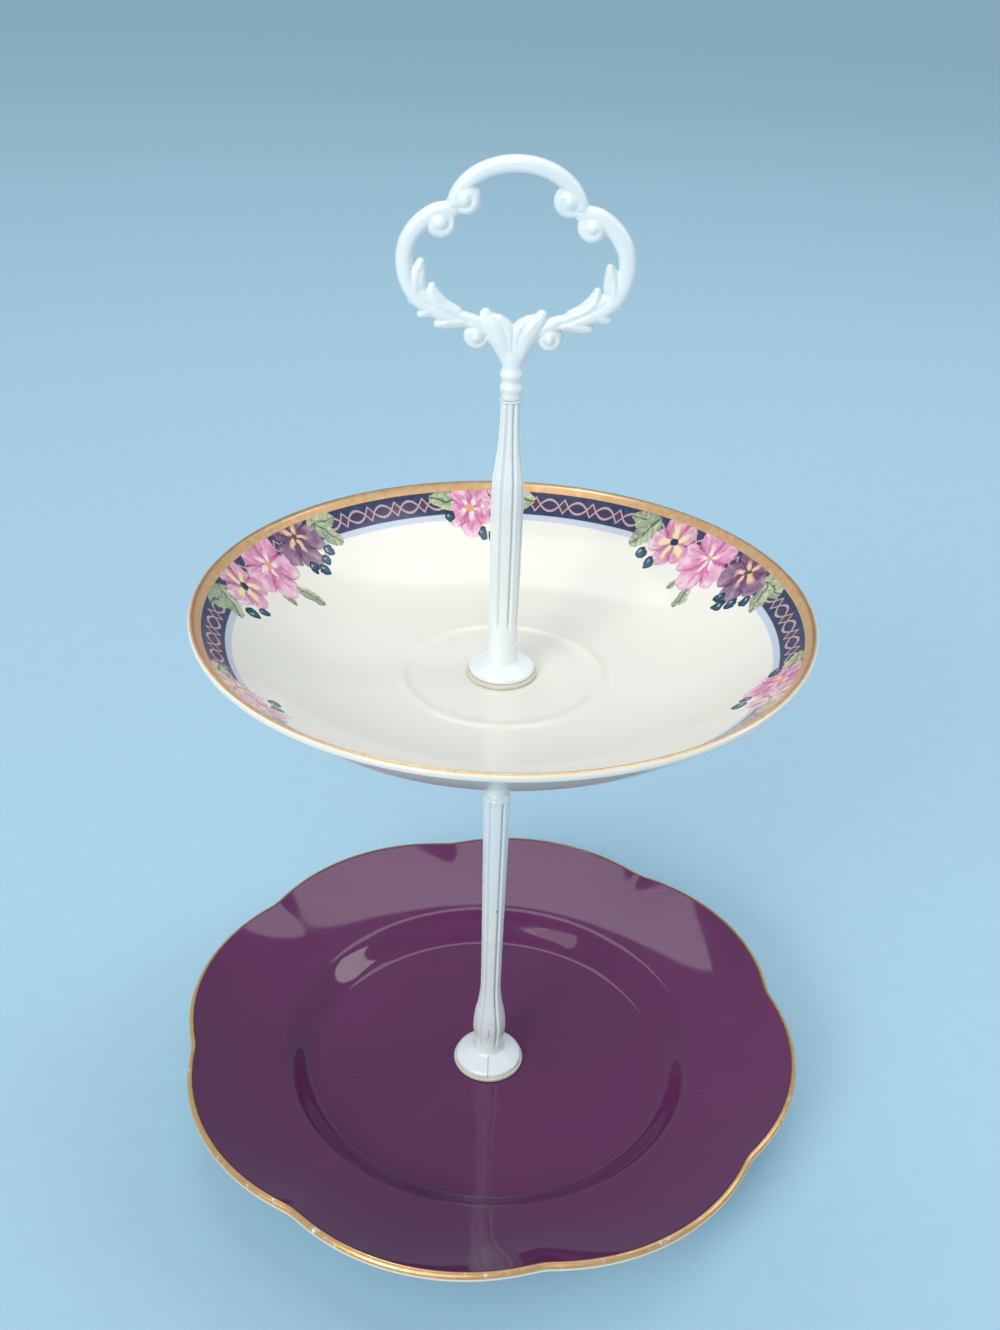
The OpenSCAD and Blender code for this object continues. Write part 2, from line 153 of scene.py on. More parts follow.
def arc(x, y, radius, start, end, steps):
    """Points on a circle about (x, y), from one angle in degrees to another."""
    a = np.radians(np.linspace(start, end, steps))
    return np.stack([x + radius * np.cos(a), y + radius * np.sin(a)], 1)


def line(x0, y0, x1, y1, steps, ends=(True, True)):
    """Evenly spaced points on a straight line, with or without its ends."""
    u = np.linspace(0, 1, steps)
    u = u[0 if ends[0] else 1: steps if ends[1] else steps - 1]
    return np.stack([x0 + (x1 - x0) * u, y0 + (y1 - y0) * u], 1)


def through(points, steps):
    """A smooth curve through (height, radius) points: monotone cubic pieces, whose slope at each
    point is the harmonic mean of its two neighbours' slopes, or zero at a crest or waist."""
    p = np.asarray(points, float)
    x, y = p[:, 0], p[:, 1]
    h = np.diff(x)
    d = np.diff(y) / h
    m = np.zeros(len(x))
    same = d[:-1] * d[1:] > 0
    m[1:-1][same] = 2 * d[:-1][same] * d[1:][same] / (d[:-1][same] + d[1:][same])
    m[0], m[-1] = d[0], d[-1]
    q = np.linspace(x[0], x[-1], steps)
    k = np.clip(np.searchsorted(x, q, side="right") - 1, 0, len(h) - 1)
    u = (q - x[k]) / h[k]
    value = ((2 * u**3 - 3 * u**2 + 1) * y[k] + (u**3 - 2 * u**2 + u) * h[k] * m[k]
             + (3 * u**2 - 2 * u**3) * y[k + 1] + (u**3 - u**2) * h[k] * m[k + 1])
    return q, value


def length_along(profile):
    """Distance along a profile from its first point."""
    return np.concatenate([[0], np.cumsum(np.hypot(*np.diff(profile, axis=0).T))])


# ---------------------------------------------------------------- materials


def colour(code):
    """An sRGB hex colour as linear RGBA."""
    c = np.array([int(code[i:i + 2], 16) for i in (1, 3, 5)]) / 255
    linear = np.where(c <= 0.04045, c / 12.92, ((c + 0.055) / 1.055) ** 2.4)
    return (*linear, 1.0)


# The places of the object and UV coordinates among the outputs of a texture coordinate node.
OBJECT, UV = 3, 2


def add(tree, kind, *inputs, out=0, stops=(), **settings):
    """Adds one node, feeds its inputs with values or sockets, and returns an output. A kind is a
    node's type, with its operation after a dot. Inputs go by place, None for one left alone, or
    by name, with a capital and underscores for spaces; lower case names are the node's settings.
    Stops are a colour ramp's (position, hex colour) pairs."""
    kind, _, operation = kind.partition(".")
    node = tree.nodes.new("ShaderNode" + kind)
    if operation:
        node.operation = operation
    fed = dict(enumerate(inputs))
    for name, value in settings.items():
        if name[0].isupper():
            fed[name.replace("_", " ")] = value
        else:
            setattr(node, name, value)
    while stops and len(node.color_ramp.elements) < len(stops):
        node.color_ramp.elements.new(0.5)
    for element, (position, code) in zip(node.color_ramp.elements if stops else (), stops):
        element.position = position
        element.color = colour(code)
    for key, value in fed.items():
        if isinstance(value, bpy.types.NodeSocket):
            tree.links.new(value, node.inputs[key])
        elif value is not None:
            node.inputs[key].default_value = value
    return node.outputs[out] if len(node.outputs) else None


def new_material(name):
    """A material with an empty node tree, and the tree."""
    material = bpy.data.materials.new(name)
    material.use_nodes = True
    tree = material.node_tree
    tree.nodes.clear()
    return material, tree


def finish_material(material, tree, **sockets):
    """Feeds a Principled shader and wires it to the output."""
    add(tree, "OutputMaterial", add(tree, "BsdfPrincipled", **sockets))
    return material


def over(tree, below, above, mask):
    """One paint over another where the mask is 1."""
    return add(tree, "Mix", mask, *[None] * 5, below, above, out=2, data_type="RGBA")


def white_enamel(name, flutes=0, low=0.0, high=0.0, chips=(), seam_from=99.0):
    """Gloss white enamel on a zinc casting: a thick, slightly uneven coat, so highlights are soft
    at the edges and wander a little, with small chips down to grey metal. On a fluted rod, the
    grooves between two heights are tinted darker, partly dust and partly painted shade: the tint
    falls with the distance round from each groove. The casting's seam shows as a fine line down
    the front of its flange, outside seam_from. Chips are (x, y, z, radius) in millimetres, ragged
    by noise."""
    material, tree = new_material(name)
    put = partial(add, tree)
    spot = put("TexCoord", out=OBJECT)
    cloudy = put("TexNoise", spot, Scale=60.0, Detail=3.0)
    tint = put("ValToRGB", cloudy, stops=((0.3, "#e6eceb"), (0.7, "#f3f6f4")))
    if flutes:
        place = put("VectorMath.MULTIPLY", spot, (PER_MM, PER_MM, PER_MM))
        parts = put("SeparateXYZ", place).node
        flat = put("VectorMath.MULTIPLY", place, (1.0, 1.0, 0.0))
        angle = put("Math.ARCTAN2", parts.outputs[1], parts.outputs[0])
        step = TURN / flutes
        off = put("Math.WRAP", put("Math.ADD", angle, TURN / 4 - step / 2), step / 2, -step / 2)
        across = put("Math.MULTIPLY", off, put("VectorMath.LENGTH", flat, out=1))
        # Dust and painted shade: a grey-blue tint, strongest at each groove's middle, stands for
        # both dust and the shade that falls in the grooves.
        groove_dust_and_shade = put("MapRange", put("Math.ABSOLUTE", across), 0.42, 0.1, 0.0, 0.32)
        groove_dust_and_shade = put("Math.MULTIPLY", groove_dust_and_shade, band(tree, parts.outputs[2], low, high, 1.5))
        groove_dust_and_shade = put("Math.MULTIPLY", groove_dust_and_shade, put("MapRange", cloudy, 0.3, 0.6, 0.6, 1.0))
        tint = over(tree, tint, colour("#a3b3b6"), groove_dust_and_shade)
        seam = put("MapRange", put("Math.ABSOLUTE", parts.outputs[0]), 0.24, 0.1, 0.0, 0.75)
        seam = put("Math.MULTIPLY", seam, put("Math.LESS_THAN", parts.outputs[1], -seam_from))
        tint = over(tree, tint, colour("#9fada8"), seam)
    ragged = put("TexNoise", spot, Scale=2200.0, Detail=2.0)
    for x, y, z, size in chips:
        away = put("VectorMath.DISTANCE", spot, (x * MM, y * MM, z * MM), out=1)
        away = put("Math.MULTIPLY_ADD", ragged, 0.0005, away)
        chip = put("MapRange", away, (size + 0.25) * MM, (size + 0.15) * MM, 0.0, 0.85)
        tint = over(tree, tint, colour("#5f6668"), chip)
    orange_peel = put("TexNoise", spot, Scale=900.0, Detail=2.0)
    rough = put("MapRange", cloudy, 0.3, 0.7, 0.2, 0.32)
    bump = put("Bump", Strength=0.12, Distance=0.00006, Height=orange_peel)
    return finish_material(material, tree, Base_Color=tint, Roughness=rough, Normal=bump,
                           IOR=1.52, Coat_Weight=0.35, Coat_Roughness=0.12)


def moulded_plastic(name, deep, pale):
    """Moulded washers, cream polythene or natural nylon: slightly cloudy, waxy rather than
    glossy."""
    material, tree = new_material(name)
    put = partial(add, tree)
    spot = put("TexCoord", out=OBJECT)
    cloudy = put("TexNoise", spot, Scale=300.0, Detail=2.0)
    tint = put("ValToRGB", cloudy, stops=((0.3, deep), (0.7, pale)))
    fine = put("TexNoise", spot, Scale=2500.0)
    bump = put("Bump", Strength=0.1, Distance=0.00005, Height=fine)
    return finish_material(material, tree, Base_Color=tint, Roughness=0.42, Normal=bump,
                           IOR=1.51, Subsurface_Weight=0.1, Subsurface_Scale=0.001)


def zinc_plate():
    """Bright zinc plated steel: a cool metal with fine turning marks round the axis."""
    material, tree = new_material("zinc_plated_steel")
    put = partial(add, tree)
    spot = put("TexCoord", out=OBJECT)
    turned = put("TexNoise", spot, Scale=1800.0, Detail=3.0)
    tint = put("ValToRGB", turned, stops=((0.3, "#a9adb2"), (0.7, "#c9ccd0")))
    rough = put("MapRange", turned, 0.3, 0.7, 0.22, 0.38)
    return finish_material(material, tree, Base_Color=tint, Metallic=1.0, Roughness=rough)


def plum_china():
    """Bone china under a deep plum glaze on its upper side, white below, with a worn gilt edge.
    The glaze is thick and glassy, with a long soft waviness and fine knife marks."""
    material, tree = new_material("plum_glazed_bone_china")
    put = partial(add, tree)
    spot = put("TexCoord", out=OBJECT)
    along = put("SeparateXYZ", put("TexCoord", out=UV), out=1)
    cloudy = put("TexNoise", spot, Scale=18.0, Detail=3.0)
    plum = put("ValToRGB", cloudy, stops=((0.3, "#5c2350"), (0.7, "#652857")))
    white = colour("#e9e8e2")
    upper = put("MapRange", along, 0.001, 0.003, 0.0, 1.0)
    body = over(tree, white, plum, upper)
    speck = put("TexNoise", spot, Scale=420.0, Detail=4.0, Roughness=0.7)
    wear = put("MapRange", speck, 0.60, 0.68, 1.0, 0.0)
    gilt_edge = band(tree, along, -0.016, 0.006, 0.0012)
    gilt = put("Math.MULTIPLY", gilt_edge, wear)
    gilding = put("ValToRGB", speck, stops=((0.2, "#d29c62"), (0.8, "#ebbd86")))
    paint = over(tree, body, gilding, gilt)
    wave = put("TexNoise", spot, Scale=28.0, Detail=1.0)
    bump = put("Bump", Strength=0.15, Distance=0.0006, Height=wave)
    marks = None
    for turned in (0.5, 1.9, 2.7):
        lie = put("Mapping", spot, Rotation=(0.0, 0.0, turned), Scale=(14.0, 1500.0, 1.0))
        fine = put("TexNoise", lie, Scale=1.0, Detail=2.0)
        fine = put("MapRange", fine, 0.66, 0.72, 0.0, 0.2)
        marks = fine if marks is None else put("Math.ADD", marks, fine)
    rough = put("MapRange", gilt, 0.0, 1.0, 0.06, 0.28)
    rough = put("Math.ADD", rough, marks)
    shine = put("Math.MULTIPLY", gilt, 0.6)
    return finish_material(material, tree, Base_Color=paint, Metallic=shine, Roughness=rough,
                           Normal=bump, IOR=1.52)


def printed_china():
    """Glazed bone china, warm white and a little cloudy in the body, with print_border's flowers
    and gilt on it. The gilt is rougher than the glaze, and half metallic."""
    material, tree = new_material("printed_bone_china")
    put = partial(add, tree)
    spot = put("TexCoord", out=OBJECT)
    cloudy = put("TexNoise", spot, Scale=16.0, Detail=2.0)
    body = put("ValToRGB", cloudy, stops=((0.3, "#e9e4d8"), (0.7, "#eee9dd")))
    along = put("SeparateXYZ", put("TexCoord", out=UV), out=1)
    paint, gilt = print_border(tree, spot, along, body)
    wave = put("TexNoise", spot, Scale=30.0, Detail=1.0)
    bump = put("Bump", Strength=0.12, Distance=0.0006, Height=wave)
    rough = put("MapRange", gilt, 0.0, 1.0, 0.14, 0.3)
    shine = put("Math.MULTIPLY", gilt, 0.5)
    return finish_material(material, tree, Base_Color=paint, Metallic=shine, Roughness=rough,
                           Normal=bump, IOR=1.52)


def band(tree, value, low, high, soft=0.12):
    """1 where a distance in millimetres lies between low and high, with soft edges."""
    rise = add(tree, "MapRange", value, low - soft, low + soft, 0.0, 1.0)
    fall = add(tree, "MapRange", value, high - soft, high + soft, 1.0, 0.0)
    return add(tree, "Math.MULTIPLY", rise, fall)


def flower(tree, here, paint, place, size, turn, petals, tones, crease, heart):
    """Paints one flower. In polar terms its edge is size * (0.6 + 0.4 |cos(n a / 2)|^0.45), longer
    on one side. Tone runs from the heart out with streaks along each petal, petals part in
    shadowed creases, and the heart is a star of a second colour round a dark eye."""
    put = partial(add, tree)
    off = put("VectorMath.SUBTRACT", here, (*place, 0.0))
    rho = put("Math.DIVIDE", put("VectorMath.LENGTH", off, out=1), size)
    parts = put("SeparateXYZ", off).node
    angle = put("Math.ARCTAN2", parts.outputs[1], parts.outputs[0])
    fan = put("Math.COSINE", put("Math.MULTIPLY_ADD", angle, petals / 2, turn))
    fan = put("Math.ABSOLUTE", fan)
    uneven = put("Math.COSINE", put("Math.ADD", angle, turn * 1.7))
    uneven = put("Math.MULTIPLY_ADD", uneven, 0.1, 0.6)
    edge = put("Math.MULTIPLY_ADD", put("Math.POWER", fan, 0.45), 0.4, uneven)
    inside = put("Math.SUBTRACT", edge, rho)
    mask = put("MapRange", inside, 0.0, 0.7 / size / 2, 0.0, 1.0)
    round_it = put("Math.SINE", put("Math.MULTIPLY", angle, 0.5))
    lie = put("CombineXYZ", put("Math.MULTIPLY", round_it, 9.0), put("Math.MULTIPLY", rho, 1.4),
              place[0])
    streak = put("TexNoise", lie, Scale=1.6, Detail=3.0, Roughness=0.6)
    tone = put("Math.ADD", put("Math.MULTIPLY_ADD", rho, 0.55, -0.32),
               put("Math.MULTIPLY_ADD", streak, 1.15, -0.1))
    fill = put("ValToRGB", tone, stops=tones)
    fold = put("MapRange", fan, 0.34, 0.04, 0.0, 0.85)
    fold = put("Math.MULTIPLY", fold, put("MapRange", rho, 0.2, 0.5, 0.0, 1.0))
    fill = over(tree, fill, colour(crease), fold)
    rim = put("MapRange", inside, 0.0, 0.11, 0.45, 0.0)
    fill = over(tree, fill, colour(crease), rim)
    star_code, star_reach, eye_code, eye_size = heart
    star = put("Math.MULTIPLY", put("Math.POWER", fan, 1.6), star_reach)
    star = put("Math.SUBTRACT", put("Math.MULTIPLY_ADD", streak, 0.25, star), rho)
    fill = over(tree, fill, colour(star_code), put("MapRange", star, 0.0, 0.22, 0.0, 0.95))
    eye = put("Math.SUBTRACT", put("Math.MULTIPLY_ADD", streak, 0.16, eye_size - 0.08), rho)
    fill = over(tree, fill, colour(eye_code), put("MapRange", eye, 0.0, 0.05, 0.0, 1.0))
    return over(tree, paint, fill, mask)


def leaf(tree, here, paint, base, tip, width, pale, deep):
    """Paints a leaf: a pointed lens from base to tip, 1.18 (u - u^2)^0.62 widths to each side at
    the share u of its length, one half in deeper tone, with a rib and slanting side veins."""
    put = partial(add, tree)
    length = math.hypot(tip[0] - base[0], tip[1] - base[1])
    axis = ((tip[0] - base[0]) / length, (tip[1] - base[1]) / length)
    off = put("VectorMath.SUBTRACT", here, (*base, 0.0))
    u = put("Math.DIVIDE", put("VectorMath.DOT_PRODUCT", off, (*axis, 0.0), out=1), length)
    side = put("VectorMath.DOT_PRODUCT", off, (-axis[1], axis[0], 0.0), out=1)
    bow = put("Math.MULTIPLY", u, put("Math.SUBTRACT", 1.0, u))
    outline = put("Math.POWER", put("Math.MAXIMUM", bow, 0.0), 0.62)
    outline = put("Math.MULTIPLY", outline, width * 1.18)
    away = put("Math.ABSOLUTE", side)
    mask = put("MapRange", put("Math.SUBTRACT", outline, away), 0.0, 0.2, 0.0, 1.0)
    cloud = put("TexNoise", here, Scale=0.8, Detail=3.0)
    tone = put("Math.ADD", put("Math.MULTIPLY", side, 0.5 / width),
               put("Math.MULTIPLY_ADD", cloud, 1.6, -0.3))
    fill = put("ValToRGB", tone, stops=((0.2, pale), (0.75, deep)))
    slant = put("Math.SUBTRACT", put("Math.MULTIPLY", u, length), put("Math.MULTIPLY", away, 0.9))
    vein = put("Math.PINGPONG", slant, 0.85)
    vein = put("MapRange", vein, 0.2, 0.05, 0.0, 0.5)
    rib = put("MapRange", away, 0.3, 0.1, 0.0, 0.9)
    fill = over(tree, fill, colour("#345b54"), put("Math.MAXIMUM", vein, rib))
    return over(tree, paint, fill, mask)


def berries(tree, here, paint, places):
    """Paints dark round berries with a deep outline and a pale glint."""
    put = partial(add, tree)
    near, glint = None, None
    for x, y in places:
        d = put("VectorMath.DISTANCE", here, (x, y, 0.0), out=1)
        g = put("VectorMath.DISTANCE", here, (x + 0.4, y + 0.4, 0.0), out=1)
        near = d if near is None else put("Math.MINIMUM", near, d)
        glint = g if glint is None else put("Math.MINIMUM", glint, g)
    fill = put("Math.DIVIDE", near, 1.8)
    fill = put("ValToRGB", fill, stops=((0.35, "#2c5a72"), (0.85, "#10283a")))
    fill = over(tree, fill, colour("#9fc0c8"), put("MapRange", glint, 0.55, 0.2, 0.0, 0.85))
    return over(tree, paint, fill, put("MapRange", near, 1.8, 1.55, 0.0, 1.0))


# Radii of the saucer's print, in millimetres, and how often the chain crosses in a turn.
PALE_LINE = (67.4, 68.9)
NAVY_BAND = (68.9, 74.4)
GILT_RIM = (74.4, 77.0)
PRINT_R = 70.0
CHAIN_R = 71.6
CHAIN_COUNT = 54.0
CHAIN_PITCH = 8.4

# Colour ramps of the petals, from the heart out.
PINKS = ((0.1, "#b8487e"), (0.32, "#d07ba4"), (0.52, "#e2a5bf"), (0.78, "#f0d3dc"))
ROSES = ((0.1, "#b04f80"), (0.34, "#cf86a8"), (0.58, "#dfa8bf"), (0.8, "#f2dde2"))
MAUVES = ((0.1, "#4b3353"), (0.36, "#75506f"), (0.6, "#94708a"), (0.82, "#b597a4"))

# Bouquets: middle in degrees, leaves (base, tip, width), flowers (place, size, turn, petals, tones,
# crease, (star, its reach, eye, its size)), berries, and the leaves' pale and deep tones. Places
# are millimetres round the border and outward from the middle.
BOUQUETS = (
    (34.5,
     (((21.5, 1.6), (31.6, 2.8), 5.6), ((23.0, 3.6), (28.2, -4.2), 5.0),
      ((-18.0, 2.8), (-27.6, 3.0), 5.2), ((-20.5, 2.8), (-26.0, -3.6), 4.6),
      ((5.0, -7.2), (7.0, -11.6), 2.9), ((0.0, -8.0), (-2.2, -15.6), 4.4)),
     (((1.9, -0.6), 8.9, 0.5, 5, PINKS, "#a23f74", ("#f3dfdc", 0.36, "#e2a273", 0.14)),
      ((15.4, -0.4), 6.9, 0.2, 5, ROSES, "#a5487b", ("#f1e0a6", 0.64, "#2a2e4c", 0.2)),
      ((-12.3, 1.6), 8.0, 1.1, 5, MAUVES, "#3d2a49", ("#eec3a2", 0.42, "#5a4a44", 0.13))),
     ((23.2, -5.0), (19.2, -7.4), (-11.4, -6.2), (-14.2, -7.9), (-17.2, -5.6), (-20.2, -3.4)),
     "#cbc99f", "#8c9a86"),
    (95.5,
     (((8.0, 1.6), (15.6, 3.4), 4.6), ((-8.0, 3.4), (-14.4, 2.2), 4.4)),
     (((4.2, 0.2), 7.2, 0.9, 5, PINKS, "#b0507f", ("#f3dfdc", 0.36, "#e3a26c", 0.17)),
      ((-4.8, 1.0), 5.6, 0.3, 5, ROSES, "#a5487b", ("#f1e0a6", 0.6, "#5a4a52", 0.14))),
     ((10.6, -1.6), (0.7, -6.6), (-2.9, -7.2)),
     "#cfd0a4", "#98a583"))


def chain(tree, turns, radius, paint):
    """Two pinkish strands that cross twice in every pitch: their half spread is the larger of a
    straight sided diamond, 1.6 - 1.1 u, and a parabola over the rest, with u the millimetres
    from the diamond's middle. The diamonds are filled dull red."""
    put = partial(add, tree)
    phase = put("Math.FRACT", put("Math.MULTIPLY", turns, CHAIN_COUNT))
    u = put("Math.ABSOLUTE", put("Math.SUBTRACT", phase, 0.5))
    u = put("Math.MULTIPLY", u, CHAIN_PITCH)
    t = put("Math.ABSOLUTE", put("Math.SUBTRACT", radius, CHAIN_R))
    diamond = put("Math.MULTIPLY_ADD", u, -1.1, 1.6)
    from_middle = put("Math.DIVIDE", put("Math.SUBTRACT", CHAIN_PITCH / 2, u), 2.8)
    oval = put("Math.MULTIPLY_ADD", put("Math.POWER", from_middle, 2.0), -1.35, 1.35)
    gap = put("Math.SUBTRACT", t, put("Math.MAXIMUM", diamond, oval))
    inner = put("MapRange", gap, 0.0, -0.3, 0.0, 1.0)
    near = put("MapRange", u, 1.55, 1.4, 0.0, 1.0)
    paint = over(tree, paint, colour("#4a3850"), put("Math.MULTIPLY", inner, 0.5))
    paint = over(tree, paint, colour("#5b3a46"), put("Math.MULTIPLY", inner, near))
    strand = put("MapRange", put("Math.ABSOLUTE", gap), 0.36, 0.18, 0.0, 0.95)
    return over(tree, paint, colour("#c2a5ab"), strand)


def print_border(tree, spot, along, body):
    """The saucer's print, as paint over the body, and where it is gilt. Millimetres along the
    border are the angle from a bouquet's middle times PRINT_R. Each bouquet comes three times."""
    put = partial(add, tree)
    place = put("VectorMath.MULTIPLY", spot, (PER_MM, PER_MM, 0.0))
    radius = put("VectorMath.LENGTH", place, out=1)
    parts = put("SeparateXYZ", place).node
    angle = put("Math.ARCTAN2", parts.outputs[1], parts.outputs[0])
    turns = put("Math.DIVIDE", angle, TURN)
    top = put("MapRange", along, 0.0, 0.006, 0.0, 1.0)
    brushed = put("TexNoise", spot, Scale=500.0, Detail=3.0)
    navy_tone = put("ValToRGB", brushed, stops=((0.35, "#2c3354"), (0.65, "#3d4162")))
    paint = over(tree, body, colour("#c4cada"), band(tree, radius, *PALE_LINE))
    ground = chain(tree, turns, radius, navy_tone)
    paint = over(tree, paint, ground, band(tree, radius, *NAVY_BAND))
    sway = put("TexNoise", spot, out=1, Scale=260.0, Detail=3.0)
    sway = put("VectorMath.SUBTRACT", sway, (0.5, 0.5, 0.5))
    sway = put("VectorMath.MULTIPLY", sway, (3.2, 3.2, 0.0))

    def motif(middle):
        """Millimetres round the border and outward, from the middle of the nearest repeat."""
        folded = put("Math.SUBTRACT", angle, math.radians(middle))
        folded = put("Math.WRAP", folded, TURN / 6, -TURN / 6)
        flat = put("CombineXYZ", put("Math.MULTIPLY", folded, PRINT_R),
                   put("Math.SUBTRACT", radius, PRINT_R), 0.0)
        return put("VectorMath.ADD", flat, sway)

    for middle, leaves, blooms, fruit, pale, deep in BOUQUETS:
        here = motif(middle)
        for base, tip, width in leaves:
            paint = leaf(tree, here, paint, base, tip, width, pale, deep)
        for bloom in blooms:
            paint = flower(tree, here, paint, *bloom)
        paint = berries(tree, here, paint, fruit)

    inside = put("MapRange", along, -0.008, -0.006, 0.0, 1.0)
    rubbed = put("TexNoise", spot, Scale=700.0, Detail=4.0, Roughness=0.7)
    inside = put("Math.MULTIPLY", inside, put("MapRange", rubbed, 0.62, 0.7, 1.0, 0.25))
    gilt = put("Math.MULTIPLY", band(tree, radius, *GILT_RIM, 0.07), inside)
    gold = put("ValToRGB", brushed, stops=((0.2, "#dba56e"), (0.8, "#efc592")))
    return over(tree, over(tree, body, paint, top), gold, gilt), gilt


# ---------------------------------------------------------------- china plates

lower_high = box_mm("lower_plate")[1]
upper_low, upper_high = box_mm("upper_plate")
PLATE_HOLE = 3.5


def dish_profile(top, rim_r, rim_z, lip_r, floor_t, foot):
    """Closed outline of a dish as rows of (radius, height): up the wall from the hole, over a round
    lip, back along an under side that is floor_t thick and thins to the lip, over a rounded foot
    ring, and up the hole. Also the signed distance from the lip's crest, positive on top."""
    lip = arc(rim_r, rim_z - lip_r, lip_r, 90, -80, 12)
    share = np.clip((top[::-1, 0] - top[0, 0]) / (rim_r - top[0, 0]), 0, 1)
    under = top[::-1].copy()
    under[:, 1] -= floor_t + (2 * lip_r - floor_t) * share ** 1.3
    foot_r, foot_w, foot_z = foot
    under[:, 1] = np.minimum(under[:, 1], under[:, 1] - (under[:, 1] - foot_z)
                             * foot_bump(under[:, 0], foot_r, foot_w))
    outline = np.vstack([top, lip, under])
    distance = length_along(outline)
    crest = len(top) + 1
    return outline, distance[crest] - distance


def foot_bump(r, centre, width):
    """1 across a foot ring and 0 beside it, with quick soft flanks."""
    flank = 0.9
    return (smooth_step(r, centre - width / 2 - flank, centre - width / 2)
            * (1 - smooth_step(r, centre + width / 2, centre + width / 2 + flank)))


def radii(*stops):
    """Radii for a profile: (start, end, steps) stretches joined end to end."""
    parts = [np.linspace(a, b, n, endpoint=False) for a, b, n in stops]
    return np.concatenate(parts + [[stops[-1][1]]])


def upper_plate():
    """The saucer: height over the floor is depth times ((r - floor) / (rim - floor)) to the power
    of the wall curve, with a soft cup ring."""
    lip_r, floor_r, curve, floor_t = 1.1, 28.0, 2.4, 3.6
    rim_r = upper_high[0] - lip_r
    rim_z = upper_high[2]
    depth = 20.9
    r = radii((PLATE_HOLE, 16, 8), (16, 21, 10), (21, 28, 26), (28, 52, 24), (52, rim_r, 30))
    wall = depth * np.clip((r - floor_r) / (rim_r - floor_r), 0, 1) ** curve
    ring = 0.45 * bell(r, 25.5, 1.5) - 0.12 * bell(r, 22.3, 2.0)
    top = np.stack([r, rim_z - depth + wall + ring], 1)
    top[0, 1] -= 0.25  # the glaze breaks a little at the drilled hole
    foot = (23.0, 2.2, upper_low[2])
    outline, along = dish_profile(top, rim_r, rim_z, lip_r, floor_t, foot)
    return lathe("upper_plate_china", outline[::-1, 0], outline[::-1, 1], 432, along[::-1])


def scallop(angle, crest, notch, count, turn):
    """Radius of a rim of equal arcs that meet in notches: each arc's circle is centred off the
    axis, on the arc's middle direction, so that it passes through crest and notch. The notches
    are eased, as glaze fills them."""
    half = math.pi / count
    centre = (crest**2 - notch**2) / (2 * (crest - notch * math.cos(half)))
    away = np.mod(angle - turn, 2 * half) - half
    away = np.sign(away) * (half - np.sqrt((half - np.abs(away)) ** 2 + 0.022**2))
    return centre * np.cos(away) + np.sqrt((crest - centre) ** 2 - (centre * np.sin(away)) ** 2)


def lower_plate():
    """The tea plate: a flat well, a wall that rises as 3u^2 - 2u^3, a broad flange that rises as a
    parabola, steeper to the rim, and a scalloped edge."""
    lip_r, floor_t = 1.4, 4.0
    crest = 90.3
    rim_r, rim_z = crest - lip_r, lower_high[2]
    depth, well_r, wall_w, wall_h = 16.5, 51.0, 10.5, 7.2
    span = rim_r - well_r - wall_w
    slope = 0.47 * (depth - wall_h) / span
    bend = (depth - wall_h - slope * span) / span**2
    r = radii((PLATE_HOLE, 40, 6), (40, 50, 6), (50, 64, 34), (64, 84, 18), (84, rim_r, 10))
    u = np.clip((r - well_r) / wall_w, 0, 1)
    rise = wall_h * (3 * u**2 - 2 * u**3) + wall_w * slope * (u**3 - u**2)
    out = np.clip(r - well_r - wall_w, 0, None)
    flange = out * slope + out**2 * bend
    top = np.stack([r, rim_z - depth + rise + flange], 1)
    foot = (49.0, 2.6, 0.0)
    outline, along = dish_profile(top, rim_r, rim_z, lip_r, floor_t, foot)

    def scalloped(radius, height, angle):
        """Draws the flange's outer part in to the scalloped outline, and dips it a little there."""
        edge = scallop(angle, crest, crest - 3.5, 8, math.radians(10.4))
        pull = smooth_step(radius, 66, crest)
        dip = (edge / crest - 1) * pull
        return radius * (1 + dip), height + 8.0 * dip, angle

    return lathe("lower_plate_china", outline[::-1, 0], outline[::-1, 1], 560, along[::-1],
                 scalloped)


# ---------------------------------------------------------------- rods


def fluted(count, depth_at, seam_low=-1.0):
    """A shape function for a fluted column with a rib to the front: narrow grooves,
    depth_at(height) times e to the minus square of the distance round over 0.42 mm, between ribs
    flattened by a cosine of the angle. A fine casting seam stands along the front of the flange,
    under seam_low."""
    def shape(radius, height, angle):
        step = TURN / count
        off = np.mod(angle + TURN / 4, step) - step / 2
        depth = depth_at(height)
        across = off * np.maximum(radius, 0.1)
        cut = depth * np.exp(-(across / 0.42) ** 2)
        flat = 0.028 * radius * (1 - np.cos(off * count)) * np.clip(depth, 0, 1)
        front = np.mod(angle + TURN / 4 + math.pi, TURN) - math.pi
        seam = np.exp(-(front * radius / 0.22) ** 2) * (height < seam_low) * (radius > 2)
        return radius - cut - flat, height + 0.22 * seam * (height > seam_low - 3.2), angle
    return shape


def rod(name, node, stations, steps, count, flute_span, seam_z):
    """A rod turned to the smooth curve through its stations, with flutes over flute_span."""
    low, high = box_mm(node)
    z, r = through([(low[2] + a, b) for a, b in stations], steps)
    start, end, soft = flute_span
    flange = arc(stations[0][1] - 0.35, low[2] + 0.35, 0.35, -90, 0, 5)
    base = line(0.2, low[2], stations[0][1] - 0.35, low[2], 6, (True, False))
    radius = np.concatenate([base[:, 0], flange[:, 0], r[1:], [r[-1] - 0.2, 0.2]])
    height = np.concatenate([base[:, 1], flange[:, 1], z[1:], [high[2], high[2]]])

    def depth_at(h):
        """How deep the flutes are at a height: they fade in and out over soft."""
        return 0.8 * (smooth_step(h, low[2] + start, low[2] + start + soft)
                       * (1 - smooth_step(h, low[2] + end - soft, low[2] + end)))

    return capped(name, radius[::-1], height[::-1], 192, fluted(count, depth_at, low[2] + seam_z))


